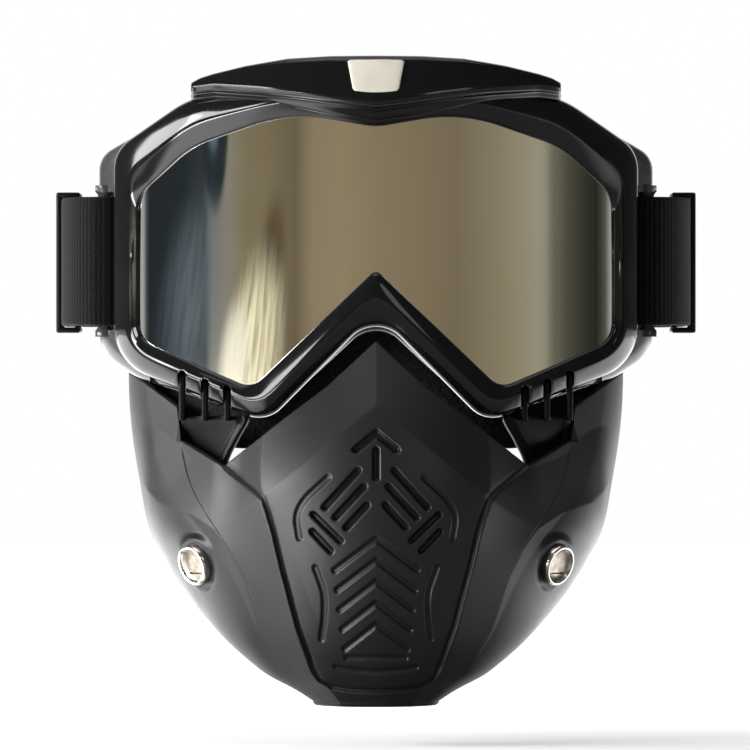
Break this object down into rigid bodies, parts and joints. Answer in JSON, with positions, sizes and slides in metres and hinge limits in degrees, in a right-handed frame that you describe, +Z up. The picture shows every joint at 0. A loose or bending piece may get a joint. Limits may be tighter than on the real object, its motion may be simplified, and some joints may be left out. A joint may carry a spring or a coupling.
{
  "type": "motorcycle goggles",
  "caption": "Motorcycle goggles with a mirrored wrap lens, brow ridge and elastic strap, and a matt lower face mask that clips into the rim.",
  "frame": {"origin": "on the symmetry plane at lens height, where the lining meets the brow", "axes": "+Z up as worn, +Y back toward the head, -Y the way the lens faces, +X to the right of the front view"},
  "size_m": [0.202, 0.2575, 0.1988],
  "materials": {
    "gloss_black": "high gloss moulded black plastic",
    "mirror_lens": "silver mirror coating on a curved plastic sheet",
    "cream_badge": "smooth cream plate",
    "smoke_grey": "glossy dark grey flexible plastic",
    "foam_black": "open-cell black foam",
    "fleece_black": "short black fleece",
    "webbing_black": "ribbed elastic webbing",
    "satin_black": "satin black plastic",
    "matt_black": "fine matt moulded plastic",
    "bright_rivet": "bright plated metal with a dished head",
    "steel_washer": "plain steel washer"
  },
  "bodies": {
    "goggles": {"front_rim": "gloss_black", "lens": "mirror_lens", "brow_cowl": "gloss_black", "brow_badge": "cream_badge", "face_flange": "smoke_grey", "face_foam": "foam_black", "fleece_lining": "fleece_black", "top_vent_foam": "foam_black", "lower_vent_foam": "foam_black", "strap": "webbing_black"},
    "glide_left": {"strap_glide_left": "satin_black"},
    "glide_right": {"strap_glide_right": "satin_black"},
    "mask": {"mask_shell": "matt_black", "mask_filter_foam": "foam_black", "mask_clip_left": "satin_black", "mask_clip_right": "satin_black", "cheek_rivet_left": "bright_rivet", "cheek_rivet_right": "bright_rivet", "rivet_washer_left": "steel_washer", "rivet_washer_right": "steel_washer"}
  },
  "joints": [
    {"name": "mask_release", "type": "slide", "parent": "goggles", "child": "mask", "axis": [0, 0, -1], "range_m": [0, 0.022]},
    {"name": "glide_left_slide", "type": "slide", "parent": "goggles", "child": "glide_left", "axis": [0, 1, 0], "range_m": [-0.012, 0.012]},
    {"name": "glide_right_slide", "type": "slide", "parent": "goggles", "child": "glide_right", "axis": [0, 1, 0], "range_m": [-0.012, 0.012]}
  ]
}
